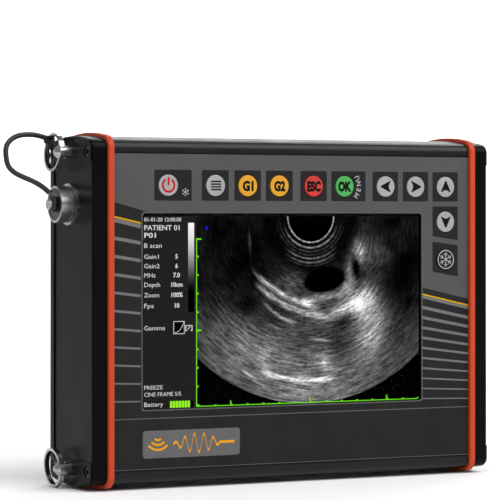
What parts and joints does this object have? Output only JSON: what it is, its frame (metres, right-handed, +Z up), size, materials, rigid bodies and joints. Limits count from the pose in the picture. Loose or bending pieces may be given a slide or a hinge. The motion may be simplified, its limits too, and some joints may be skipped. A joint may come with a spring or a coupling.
{
  "type": "portable ultrasound scanner",
  "caption": "Portable ultrasound scanner: flat extruded case with rubber bumper bands, display, keypad, strap rings and a tethered dust cap on the probe socket.",
  "frame": {"origin": "on the ground under the middle of the case", "axes": "+X to the right along the case, -Y towards the user (the display's side), +Z up"},
  "size_m": [0.2627, 0.0512, 0.1702],
  "materials": {
    "case_black": "black anodised, fine matt",
    "cap_black": "black, semi-gloss",
    "bumper_red": "red-orange rubber, satin",
    "screw_black": "blackened steel",
    "overlay_print": "printed polyester film, fine texture",
    "window_clear": "clear, hard coated",
    "display_black": "liquid crystal panel",
    "sheet_steel": "stamped",
    "board_green": "solder mask",
    "ribbon_amber": "polyimide film",
    "chip_black": "moulded epoxy",
    "nickel": "nickel plated, satin",
    "cell_wrap": "shrink sleeve",
    "tray_black": "moulded",
    "lead_black": "soft sheath",
    "insert_black": "moulded",
    "tether_black": "soft cord, dull",
    "cap_metal": "turned, bead blasted",
    "cap_dark": "dark disc",
    "seal_rubber": "soft",
    "ring_steel": "bright steel",
    "key_silver": "silver metallic",
    "key_yellow": "yellow",
    "key_red": "red",
    "key_green": "green",
    "key_black": "black"
  },
  "bodies": {
    "root": {"housing_profile": "case_black", "end_cap_left": "cap_black", "end_cap_right": "cap_black", "bumper_left": "bumper_red", "bumper_right": "bumper_red", "end_screws_left": "screw_black", "end_screws_right": "screw_black", "front_overlay": "overlay_print", "display_window": "window_clear", "lcd_module": "display_black", "lcd_frame": "sheet_steel", "keypad_board": "board_green", "keypad_ribbon": "ribbon_amber", "main_board": "board_green", "beamformer_board": "board_green", "board_chips": "chip_black", "shield_can": "sheet_steel", "board_standoffs": "nickel", "board_screws": "nickel", "buzzer": "chip_black", "battery_cells": "cell_wrap", "battery_tray": "tray_black", "battery_lead": "lead_black", "probe_harness": "lead_black", "charge_lead": "lead_black", "probe_socket_shell": "nickel", "probe_socket_nut": "nickel", "probe_socket_insert": "insert_black", "charge_socket_shell": "nickel", "charge_socket_nut": "nickel", "charge_socket_insert": "insert_black", "stud_nuts": "nickel", "tether_cord_upper": "tether_black", "tether_cord_lower": "tether_black", "strap_stud_left_top": "nickel", "strap_stud_left_bottom": "nickel", "strap_stud_right_top": "nickel", "strap_stud_right_bottom": "nickel", "key_domes": "sheet_steel"},
    "power_key": {"key_power": "key_silver"},
    "menu_key": {"key_menu": "key_silver"},
    "g1_key": {"key_g1": "key_yellow"},
    "g2_key": {"key_g2": "key_yellow"},
    "esc_key": {"key_esc": "key_red"},
    "ok_key": {"key_ok": "key_green"},
    "left_key": {"key_left": "key_silver"},
    "right_key": {"key_right": "key_silver"},
    "up_key": {"key_up": "key_silver"},
    "down_key": {"key_down": "key_silver"},
    "freeze_key": {"key_freeze": "key_black"},
    "strap_ring_left_top": {"ring_left_top": "ring_steel"},
    "strap_ring_left_bottom": {"ring_left_bottom": "ring_steel"},
    "strap_ring_right_top": {"ring_right_top": "ring_steel"},
    "strap_ring_right_bottom": {"ring_right_bottom": "ring_steel"},
    "cap_eye": {"tether_eye": "tether_black"},
    "dust_cap": {"cap_shell": "cap_metal", "cap_face": "cap_dark", "cap_seal": "seal_rubber", "cap_knob": "nickel"}
  },
  "joints": [
    {"name": "power_press", "type": "slide", "parent": "root", "child": "power_key", "axis": [0, 1, 0], "range_m": [0, 0.0005], "stiffness_N_per_m": 3000},
    {"name": "menu_press", "type": "slide", "parent": "root", "child": "menu_key", "axis": [0, 1, 0], "range_m": [0, 0.0005], "stiffness_N_per_m": 3000},
    {"name": "g1_press", "type": "slide", "parent": "root", "child": "g1_key", "axis": [0, 1, 0], "range_m": [0, 0.0005], "stiffness_N_per_m": 3000},
    {"name": "g2_press", "type": "slide", "parent": "root", "child": "g2_key", "axis": [0, 1, 0], "range_m": [0, 0.0005], "stiffness_N_per_m": 3000},
    {"name": "esc_press", "type": "slide", "parent": "root", "child": "esc_key", "axis": [0, 1, 0], "range_m": [0, 0.0005], "stiffness_N_per_m": 3000},
    {"name": "ok_press", "type": "slide", "parent": "root", "child": "ok_key", "axis": [0, 1, 0], "range_m": [0, 0.0005], "stiffness_N_per_m": 3000},
    {"name": "left_press", "type": "slide", "parent": "root", "child": "left_key", "axis": [0, 1, 0], "range_m": [0, 0.0005], "stiffness_N_per_m": 3000},
    {"name": "right_press", "type": "slide", "parent": "root", "child": "right_key", "axis": [0, 1, 0], "range_m": [0, 0.0005], "stiffness_N_per_m": 3000},
    {"name": "up_press", "type": "slide", "parent": "root", "child": "up_key", "axis": [0, 1, 0], "range_m": [0, 0.0005], "stiffness_N_per_m": 3000},
    {"name": "down_press", "type": "slide", "parent": "root", "child": "down_key", "axis": [0, 1, 0], "range_m": [0, 0.0005], "stiffness_N_per_m": 3000},
    {"name": "freeze_press", "type": "slide", "parent": "root", "child": "freeze_key", "axis": [0, 1, 0], "range_m": [0, 0.0005], "stiffness_N_per_m": 3000},
    {"name": "ring_swing_left_top", "type": "hinge", "parent": "root", "child": "strap_ring_left_top", "pos_m": [-0.11525, 0, 0.1604], "axis": [0, 0, 1], "range_deg": [-5, 60], "deforming": ["tether_cord_upper"]},
    {"name": "ring_swing_left_bottom", "type": "hinge", "parent": "root", "child": "strap_ring_left_bottom", "pos_m": [-0.11525, 0, 0.0096], "axis": [0, 0, 1], "range_deg": [-5, 185]},
    {"name": "ring_swing_right_top", "type": "hinge", "parent": "root", "child": "strap_ring_right_top", "pos_m": [0.11525, 0, 0.1604], "axis": [0, 0, 1], "range_deg": [-185, 5]},
    {"name": "ring_swing_right_bottom", "type": "hinge", "parent": "root", "child": "strap_ring_right_bottom", "pos_m": [0.11525, 0, 0.0096], "axis": [0, 0, 1], "range_deg": [-185, 5]},
    {"name": "cap_pull", "type": "slide", "parent": "root", "child": "cap_eye", "axis": [-1, 0, 0], "range_m": [0, 0.012], "deforming": ["tether_cord_lower"]},
    {"name": "cap_turn", "type": "hinge", "parent": "cap_eye", "child": "dust_cap", "pos_m": [-0.1198, 0, 0.1355], "axis": [1, 0, 0], "continuous": true}
  ]
}
